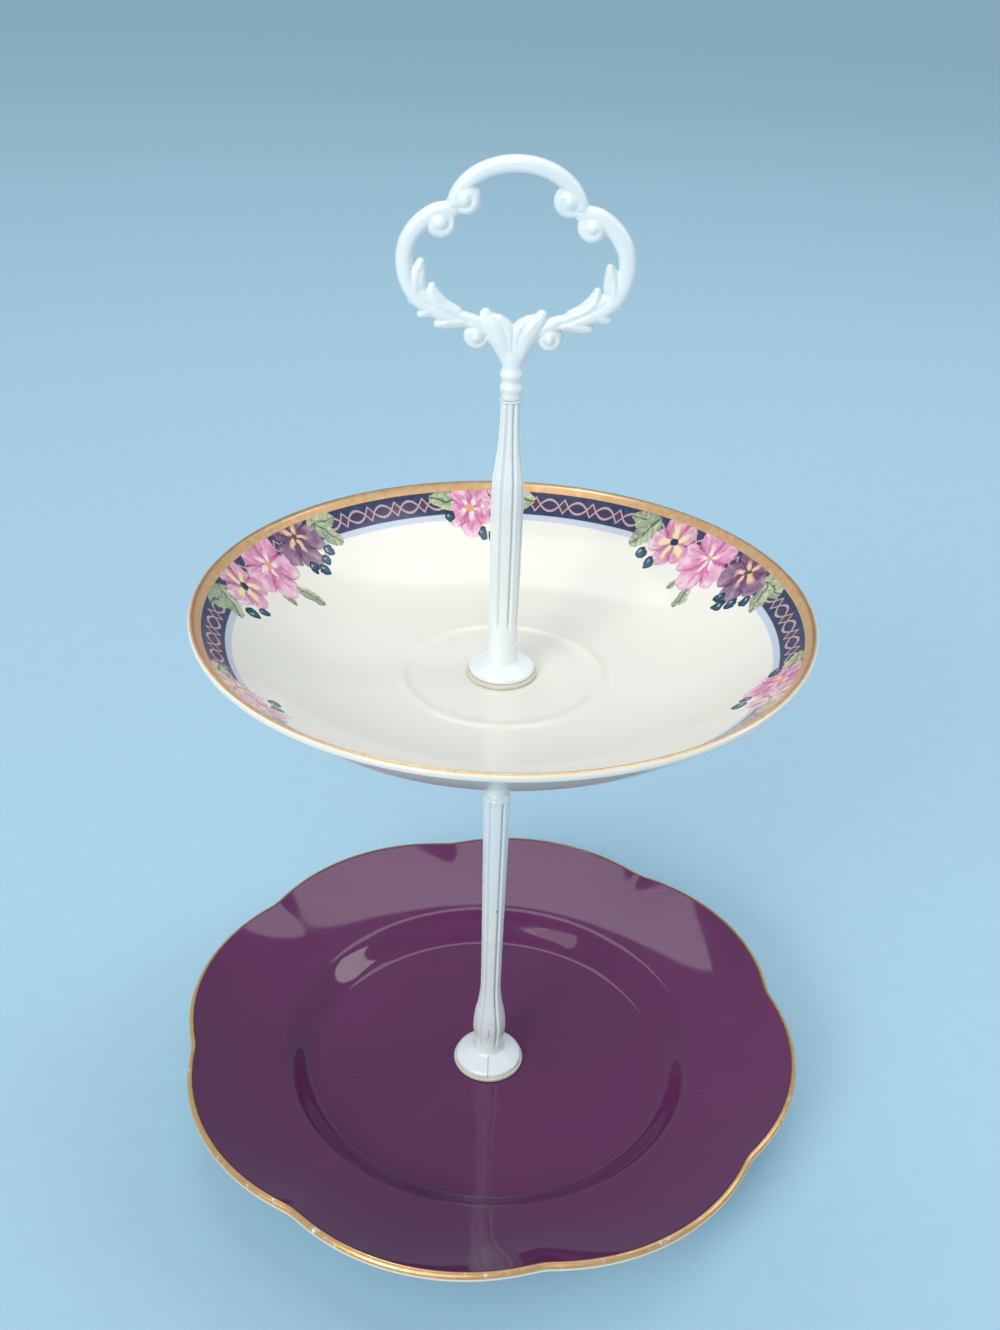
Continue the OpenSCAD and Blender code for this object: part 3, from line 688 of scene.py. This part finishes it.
# Both rods: (height over the foot, radius) up the turned shape.
LOWER_ROD = [(0.35, 9.7), (0.9, 9.75), (1.3, 9.5), (2.2, 7.6), (3.0, 5.6), (3.8, 4.3), (5.2, 4.0),
             (8.5, 4.45), (12.6, 4.9), (17.0, 4.5), (22.0, 3.6), (28.0, 3.1), (40.0, 3.15),
             (60.0, 3.4), (80.0, 3.65), (94.5, 3.82), (95.6, 3.75), (96.5, 2.55), (100, 2.5),
             (114, 2.5), (118, 3.4), (123, 4.2), (126, 5.0), (127.4, 5.0)]
UPPER_ROD = [(0.35, 8.3), (0.8, 8.35), (1.2, 8.2), (1.9, 6.6), (2.6, 4.6), (3.4, 3.8), (6.0, 3.68),
             (13.5, 3.68), (20, 3.82), (34.0, 4.02), (46.0, 4.08), (51.5, 4.0), (56.0, 3.45),
             (61.0, 2.85), (65, 2.58), (68, 2.5), (71.5, 2.48)]


def lower_rod():
    """The six ribbed rod: a round flange, a bulb, a slowly widening shaft and a plain neck."""
    return rod("lower_rod_casting", "lower_rod", LOWER_ROD, 300, 6, (5.0, 96.0, 3.0), 3.4)


def upper_rod():
    """The eight ribbed rod: a round flange and a shaft that swells, then narrows to its top."""
    return rod("upper_rod_casting", "upper_rod", UPPER_ROD, 220, 8, (12.5, 75.0, 2.5), -1.0)


# ---------------------------------------------------------------- handle

handle_low, handle_high = box_mm("handle")


def curve_through(points, steps):
    """A smooth path through rows of numbers: Catmull-Rom pieces at even parameter steps."""
    p = np.asarray(points, float)
    p = np.vstack([2 * p[0] - p[1], p, 2 * p[-1] - p[-2]])
    q = np.linspace(0, len(points) - 1 - 1e-9, steps)
    k = q.astype(int)
    u = (q - k)[:, None]
    a, b, c, d = p[k], p[k + 1], p[k + 2], p[k + 3]
    return 0.5 * (2 * b + (c - a) * u + (2 * a - 5 * b + 4 * c - d) * u**2
                  + (3 * b - a - 3 * c + d) * u**3)


def to_path(x, z, path):
    """Distance from each (x, z) to a path, and how far along the nearest point is, 0 to 1."""
    best = np.full(x.shape, 1e9)
    where = np.zeros(x.shape)
    run = len(path) - 1
    for i in range(run):
        (ax, az), (bx, bz) = path[i][:2], path[i + 1][:2]
        dx, dz = bx - ax, bz - az
        u = np.clip(((x - ax) * dx + (z - az) * dz) / (dx * dx + dz * dz), 0, 1)
        d = np.hypot(x - ax - u * dx, z - az - u * dz)
        near = d < best
        best = np.where(near, d, best)
        where = np.where(near, (i + u) / run, where)
    return best, where


def stroke(x, z, points, power, thick):
    """A bar or leaf along a path of (x, z, half width) points. Its squared half thickness is
    thick^2 (1 - (distance / half width)^power), negative outside, and falls with the width. A
    power of 2 is round, a larger one is flatter on its face, and a smaller one has a ridge."""
    path = curve_through(points, 9 * len(points))
    d, where = to_path(x, z, path)
    width = np.interp(where, np.linspace(0, 1, len(path)), path[:, 2])
    return thick**2 * (width / path[:, 2].max()) * (1 - (d / width) ** power)


def volute(x, z, centre, radius, start, sweep, thick):
    """A scroll's round end: a flat dome, with a groove cut along a spiral that closes on its eye,
    and a domed eye."""
    d = np.hypot(x - centre[0], z - centre[1])
    dome = thick**2 * (1 - (d / radius) ** 3.0)
    u = np.linspace(0, 1, 40)
    a = np.radians(start + sweep * u)
    r = radius * (0.94 - 0.58 * u)
    spiral = np.stack([centre[0] + r * np.cos(a), centre[1] + r * np.sin(a)], 1)
    groove, where = to_path(x, z, spiral)
    cut = 0.62 * np.exp(-(groove / 0.55) ** 2) * (1 - 0.5 * where)
    eye = 0.5 * np.exp(-(d / (0.3 * radius)) ** 2)
    return np.where(dome > 0, dome * (1 - cut + eye), dome)


def blend_up(a, b, soft):
    """The larger of two fields, with a fillet where they are within soft of each other."""
    h = np.clip(soft - np.abs(a - b), 0, None)
    return np.maximum(a, b) + h * h / (4 * soft)


def relief(x, z):
    """The handle's squared half thickness over its plane, as one side's strokes on |x|."""
    x = np.abs(x)
    # The top arc, half an ellipse, and its scroll.
    ring = np.hypot(x / 13.75, (z - 41.9) / 10.3)
    slope = np.hypot(x / 13.75**2, (z - 41.9) / 10.3**2) / np.maximum(ring, 0.1)
    top = 2.1**2 * (1 - np.abs((ring - 1) / np.maximum(slope, 0.02) / 1.88) ** 2.4)
    top = np.where(z > 43.0, top, -9)
    field = blend_up(top, volute(x, z, (11.25, 44.75), 3.6, 140, -330, 2.3), 0.8)
    # The side lobe, the bridge to it, and the scrolls at its two ends.
    bridge = [(11.6, 44.6, 2.0), (14.4, 42.3, 2.1), (16.6, 39.9, 2.0)]
    field = blend_up(field, stroke(x, z, bridge, 2.4, 1.75), 0.8)
    lobe = [(13.6, 42.6, 1.5), (17.6, 41.6, 1.95), (21.3, 38.9, 2.05), (23.8, 35.2, 2.05),
            (24.65, 31.3, 1.95), (24.1, 27.2, 1.95), (22.4, 23.7, 1.95), (19.6, 21.2, 2.0),
            (15.6, 19.4, 2.0), (11.8, 18.4, 1.75), (8.6, 17.6, 1.6), (6.4, 16.2, 1.5)]
    field = blend_up(field, stroke(x, z, lobe, 2.4, 2.1), 0.8)
    field = blend_up(field, volute(x, z, (16.6, 39.45), 3.5, -30, 330, 2.3), 0.8)
    field = blend_up(field, volute(x, z, (8.35, 14.55), 2.95, 40, 330, 2.1), 0.8)
    # Leaves that grow from the lobe, inwards and then outwards, and their common groove.
    leaves = [[(22.4, 22.6, 1.6), (21.9, 25.4, 2.2), (21.5, 28.0, 1.95), (21.1, 29.9, 1.4),
               (20.95, 30.6, 1.05)],
              [(13.0, 19.6, 1.6), (16.2, 20.9, 2.1), (17.8, 22.9, 1.9), (18.3, 24.6, 1.35),
               (18.4, 25.3, 1.0)],
              [(22.0, 25.6, 1.4), (20.9, 24.0, 1.5), (19.4, 22.6, 1.7), (17.0, 21.0, 1.6)],
              [(17.0, 21.2, 1.8), (18.9, 20.2, 1.75), (20.2, 19.5, 1.4), (20.9, 19.1, 1.0)],
              [(11.5, 18.0, 1.7), (14.0, 17.75, 1.75), (16.0, 17.3, 1.45), (17.1, 17.0, 1.0)]]
    for points in leaves:
        field = blend_up(field, stroke(x, z, points, 1.5, 2.15), 0.5)
    rib, _ = to_path(x, z, curve_through([(21.0, 29.0), (21.3, 25.5), (19.4, 22.6), (14.0, 19.4),
                                          (10.0, 17.9)], 30))
    field = field - np.where(field > 0, 1.1 * np.exp(-(rib / 0.5) ** 2), 0)
    # The large leaf beside the middle, what fills the fork, the leaf's groove and the middle line.
    fork = [(0.5, 7.9, 1.5), (1.1, 9.8, 2.0), (1.9, 12.2, 2.55), (2.9, 14.6, 3.0),
            (4.3, 16.9, 2.85), (5.7, 18.5, 2.1), (6.3, 19.5, 1.4)]
    field = blend_up(field, stroke(x, z, fork, 1.35, 2.75), 0.3)
    crotch = [(0.4, 9.0, 1.5), (0.6, 12.5, 1.9), (0.9, 15.5, 1.9), (1.8, 17.1, 1.6),
              (3.2, 18.4, 1.2)]
    field = blend_up(field, stroke(x, z, crotch, 2.0, 2.3), 0.3)
    rib, _ = to_path(x, z, curve_through([(1.0, 9.0), (2.4, 13.5), (4.6, 17.0), (6.2, 19.0)], 24))
    field = field - np.where(field > 0, 0.9 * np.exp(-(rib / 0.4) ** 2), 0)
    seam = np.exp(-(x / 0.35) ** 2) * smooth_step(z, 9.5, 12.0) * (z < 30)
    return field - np.where(field > 0, 0.5 * seam, 0)


def neck_radius(z):
    """Radius of the beaded neck at each height over the handle's foot."""
    stations = [(-1, 2.36), (0.4, 2.4), (1.3, 2.42), (2.7, 2.84), (4.25, 2.33), (5.9, 2.86),
                (7.5, 2.36), (9.5, 2.5), (11.5, 2.2), (14.0, 0.5), (16.0, -2.0)]
    q, value = through(stations, 160)
    return np.interp(z, q, value)


def skin(field, origin, step):
    """The zero surface of a field on a grid, negative inside: one vertex in each cell that the
    surface crosses, at the mean of its edge crossings, and one quad round each crossed edge."""
    inside = field < 0
    cells = tuple(n - 1 for n in field.shape)
    total = np.zeros(cells + (3,))
    count = np.zeros(cells)
    for axis in range(3):
        low = [slice(None)] * 3
        high = [slice(None)] * 3
        low[axis], high[axis] = slice(None, -1), slice(1, None)
        f0, f1 = field[tuple(low)], field[tuple(high)]
        cross = inside[tuple(low)] != inside[tuple(high)]
        t = np.where(cross, f0 / np.where(cross, f0 - f1, 1), 0)
        others = [k for k in range(3) if k != axis]
        for da in (0, 1):
            for db in (0, 1):
                part = [slice(None)] * 3
                part[others[0]] = slice(da, da + cells[others[0]])
                part[others[1]] = slice(db, db + cells[others[1]])
                c = cross[tuple(part)]
                count += c
                total[..., axis] += t[tuple(part)]
                total[..., others[0]] += da * c
                total[..., others[1]] += db * c
    live = count > 0
    number = np.full(cells, -1)
    number[live] = np.arange(live.sum())
    corner = np.stack(np.nonzero(live), 1)
    points = origin + step * (corner + total[live] / count[live][:, None])
    faces = []
    for axis in range(3):
        o1, o2 = (axis + 1) % 3, (axis + 2) % 3
        low = [slice(1, -1)] * 3
        high = [slice(1, -1)] * 3
        low[axis], high[axis] = slice(0, -1), slice(1, None)
        a, b = inside[tuple(low)], inside[tuple(high)]
        spot = np.stack(np.nonzero(a != b), 1)
        full = spot + 1
        full[:, axis] = spot[:, axis]
        outward = a[tuple(spot.T)]
        ring = []
        for d1, d2 in ((0, 0), (-1, 0), (-1, -1), (0, -1)):
            cell = full.copy()
            cell[:, o1] += d1
            cell[:, o2] += d2
            ring.append(number[tuple(cell.T)])
        quad = np.stack(ring, 1)
        quad[~outward] = quad[~outward][:, ::-1]
        faces.append(quad)
    return points, np.vstack(faces)


def handle():
    """The casting: the skin of a relief over its plane, joined to a turned and beaded neck. With s
    the relief's squared half thickness, (y^2 - s) / (2 sqrt s) is about the distance outside it.
    The two fields' lesser value is taken, with a fillet, and the foot is cut off flat."""
    step, soft, least = 0.24, 0.5, 0.6
    base = handle_low[2]
    reach = handle_high[0] + 2 * step
    x = np.arange(-reach, reach, step)
    y = np.arange(-3.6, 3.6, step) + 0.01
    z = np.arange(-2 * step, handle_high[2] - base + 3 * step, step)
    flat_x, flat_z = np.meshgrid(x, z, indexing="ij")
    squared = relief(flat_x, flat_z)[:, None, :]
    half = np.sqrt(np.clip(squared, least, None))
    across = y[None, :, None]
    plane = (across**2 - squared) / (2 * half)
    neck = np.hypot(x[:, None, None], across) - neck_radius(z)[None, None, :]
    fillet = np.clip(soft - np.abs(plane - neck), 0, None)
    field = np.minimum(plane, neck) - fillet**2 / (4 * soft)
    field = np.maximum(field, -z[None, None, :])
    points, faces = skin(field, np.array([x[0], y[0], z[0] + base]), step)
    return mesh_of("handle_casting", points, faces)


# ---------------------------------------------------------------- washers and fastenings


def washer(name, node, hole_r, edge):
    """A flat ring with round edges: its outline is a rectangle whose corners are arcs."""
    low, high = box_mm(node)
    outer, bottom, top = high[0], low[2], high[2]
    outline = np.vstack([arc(outer - edge, top - edge, edge, 90, 0, 5),
                         arc(outer - edge, bottom + edge, edge, 0, -90, 5),
                         arc(hole_r + edge, bottom + edge, edge, -90, -180, 5),
                         arc(hole_r + edge, top - edge, edge, 180, 90, 5)])
    return lathe(name, outline[:, 0], outline[:, 1], 96)


def screw_thread(pitch, depth, thread_low):
    """A shape function for a right handed thread: the radius falls by depth in a rounded V between
    turns, above thread_low."""
    def shape(radius, height, angle):
        turn = np.mod(height / pitch - angle / TURN, 1.0)
        groove = depth * (0.5 + 0.5 * np.cos(TURN * turn)) ** 1.3
        return radius - groove * smooth_step(height, thread_low, thread_low + 0.3), height, angle
    return shape


def threaded(name, node, pitch, depth):
    """A stud as long as its CAD node, threaded all the way."""
    low, high = box_mm(node)
    r = high[0]
    z = np.linspace(high[2], low[2], int((high[2] - low[2]) / pitch * 10))
    radius = np.minimum(r, r - 0.5 + 1.2 * np.minimum(high[2] - z, z - low[2]))
    return capped(name, radius, z, 48, screw_thread(pitch, depth, low[2]))


def base_screw():
    """A round headed slotted screw: the head is a low dome, and the slot is cut across it by
    pulling the dome's rows up inside a narrow strip."""
    low, high = box_mm("base_screw")
    head_r, shank_r, head_h = high[0], 2.0, 1.9
    z = np.linspace(high[2], low[2] + head_h, 190)
    shank = np.minimum(shank_r, shank_r - 0.5 + 1.2 * (high[2] - z))
    a = np.radians(np.linspace(0, 88, 26))
    dome_r = head_r * np.cos(a) ** 0.8
    dome_z = low[2] + head_h - head_h * np.sin(a)
    inner = np.linspace(dome_r[-1], 0.05, 30)[1:]
    radius = np.concatenate([shank, [shank_r + 0.1, head_r - 0.2], dome_r, inner])
    height = np.concatenate([z, [low[2] + head_h] * 2, dome_z, np.full(29, low[2])])
    thread = screw_thread(0.7, 0.4, low[2] + head_h + 1.0)

    def shape(r, h, angle):
        on_shank = h > low[2] + head_h + 0.01
        r_thread, _, _ = thread(r, h, angle)
        r = np.where(on_shank, r_thread, r)
        strip = 1 - smooth_step(np.abs(r * np.sin(angle)), 0.5, 0.6)
        cut = np.where(h < low[2] + head_h - 0.02, strip, 0)
        return r, np.maximum(h, (low[2] + 0.9) * cut + h * (1 - cut)), angle

    return capped("base_screw_steel", radius, height, 160, shape)


# ---------------------------------------------------------------- assembly


def dress(piece, body, node, material):
    """Gives a piece its material and the body it rides on, and hides the CAD node it stands for."""
    piece.data.materials.clear()
    piece.data.materials.append(material)
    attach(piece, body)
    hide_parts(node)


enamel = white_enamel("enamelled_zinc_casting")
lower_foot = box_mm("lower_rod")[0][2]
upper_foot = box_mm("upper_rod")[0][2]
LOWER_ROD_CHIPS = ((1.2, -3.2, 67.0, 0.45), (-3.2, -1.4, 76.0, 0.35), (-3.0, -3.5, 15.5, 0.3),
                   (3.1, 1.9, 48.0, 0.3))
lower_enamel = white_enamel("enamelled_zinc_six_flutes", 6, lower_foot + 5, lower_foot + 95,
                            LOWER_ROD_CHIPS, 4.6)
upper_enamel = white_enamel("enamelled_zinc_eight_flutes", 8, upper_foot + 14, upper_foot + 71)
cream = moulded_plastic("moulded_cream_polythene", "#cfcbb8", "#dcd9c9")
nylon = moulded_plastic("moulded_natural_nylon", "#e0e4e2", "#ecefed")
zinc = zinc_plate()

dress(lower_plate(), "lower_plate_body", "lower_plate", plum_china())
dress(upper_plate(), "upper_plate_body", "upper_plate", printed_china())
dress(lower_rod(), "stem", "lower_rod", lower_enamel)
dress(upper_rod(), "upper_rod_body", "upper_rod", upper_enamel)
dress(handle(), "handle_body", "handle", enamel)

# Rings: node, body, hole radius, edge radius, slot, material.
WASHERS = [("lower_rod_washer", "stem", 2.3, 0.35, "cream_plastic", cream),
           ("support_washer", "stem", 2.3, 0.35, "cream_plastic", cream),
           ("support_disc", "stem", 2.3, 0.4, "white_enamelled_casting", enamel),
           ("upper_rod_washer", "upper_rod_lift", 2.3, 0.35, "cream_plastic", cream),
           ("handle_washer", "handle_lift", 1.8, 0.1, "cream_plastic", nylon),
           ("base_plastic_washer", "lower_plate_body", 2.3, 0.25, "cream_plastic", cream),
           ("base_steel_washer", "base_screw_lift", 2.3, 0.15, "zinc_plated_steel", zinc)]
for node, body, hole_r, edge, slot, material in WASHERS:
    dress(washer(node + "_ring", node, hole_r, edge), body, node, material)

for node, body, pitch, depth in (("joining_stud", "stem", 0.7, 0.4),
                                 ("handle_stud", "handle_body", 0.5, 0.3)):
    dress(threaded(node + "_steel", node, pitch, depth), body, node, zinc)
dress(base_screw(), "base_screw_body", "base_screw", zinc)


# ---------------------------------------------------------------- studio


def floor():
    """A plain pale floor, large enough to fill the view."""
    side = 6000.0
    points = [(-side, -side, 0), (side, -side, 0), (side, side, 0), (-side, side, 0)]
    piece = mesh_of("studio_floor", points, [[0, 1, 2, 3]])
    material, tree = new_material("matt_pale_paper")
    spot = add(tree, "TexCoord", out=OBJECT)
    grain = add(tree, "TexNoise", spot, Scale=120.0, Detail=3.0)
    tint = add(tree, "ValToRGB", grain, stops=((0.3, "#a9cbdc"), (0.7, "#abcdde")))
    finish_material(material, tree, Base_Color=tint, Roughness=0.9)
    piece.data.materials.append(material)


def world_matrix(right, up, back, place):
    """The matrix of an object from its three axes and its place."""
    turn = np.eye(4)
    turn[:3] = np.stack([right, up, back, place], 1)
    return Matrix(turn.tolist())


def softbox(name, place, aim, size, power):
    """A rectangular area light that faces a point."""
    light = bpy.data.lights.new(name, "AREA")
    light.shape = "RECTANGLE"
    light.size, light.size_y = size
    light.energy = power
    back = np.array(place, float) - np.array(aim, float)
    back /= np.linalg.norm(back)
    right = np.cross([0, 0, 1.0], back)
    right /= np.linalg.norm(right)
    linked(name, light).matrix_world = world_matrix(right, np.cross(back, right), back, place)


def studio():
    """Plain soft light: a pale surround, an even key from the front left, a large box overhead and
    two beside."""
    world = bpy.data.worlds.new("studio")
    world.use_nodes = True
    world.node_tree.nodes["Background"].inputs[0].default_value = colour("#c0d3e0")
    world.node_tree.nodes["Background"].inputs[1].default_value = 0.66
    bpy.context.scene.world = world
    key = bpy.data.lights.new("key", "SUN")
    key.energy = 0.93
    key.color = (1.0, 0.97, 0.93)
    key.angle = math.radians(50)
    linked("key", key).rotation_euler = (math.radians(48), 0, math.radians(-22))
    middle = (0, 0, 0.13)
    softbox("overhead", (0.1, 0.4, 1.5), middle, (1.5, 0.9), 7.5)
    softbox("front_left", (-0.8, -1.2, 0.8), (0, 0, 0.2), (0.6, 0.6), 9)
    softbox("right", (1.2, 0.1, 0.8), middle, (0.4, 0.6), 2.5)
    bpy.context.scene.view_settings.view_transform = "Standard"


def camera():
    """The camera looks 30 degrees down at the stand, with a slight roll."""
    data = bpy.data.cameras.new("camera")
    data.sensor_width = 36
    data.lens = 38.98
    data.clip_start = 0.01
    pitch, yaw, roll = math.radians(29.90), math.radians(-0.08), math.radians(1.95)
    forward = np.array([math.sin(yaw) * math.cos(pitch), math.cos(yaw) * math.cos(pitch),
                        -math.sin(pitch)])
    right = np.array([math.cos(yaw), -math.sin(yaw), 0])
    up = np.cross(right, forward)
    piece = linked("camera", data)
    piece.matrix_world = world_matrix(math.cos(roll) * right + math.sin(roll) * up,
                                      -math.sin(roll) * right + math.cos(roll) * up,
                                      -forward, (0, -0.3192, 0.3287))
    bpy.context.scene.camera = piece


floor()
studio()
camera()
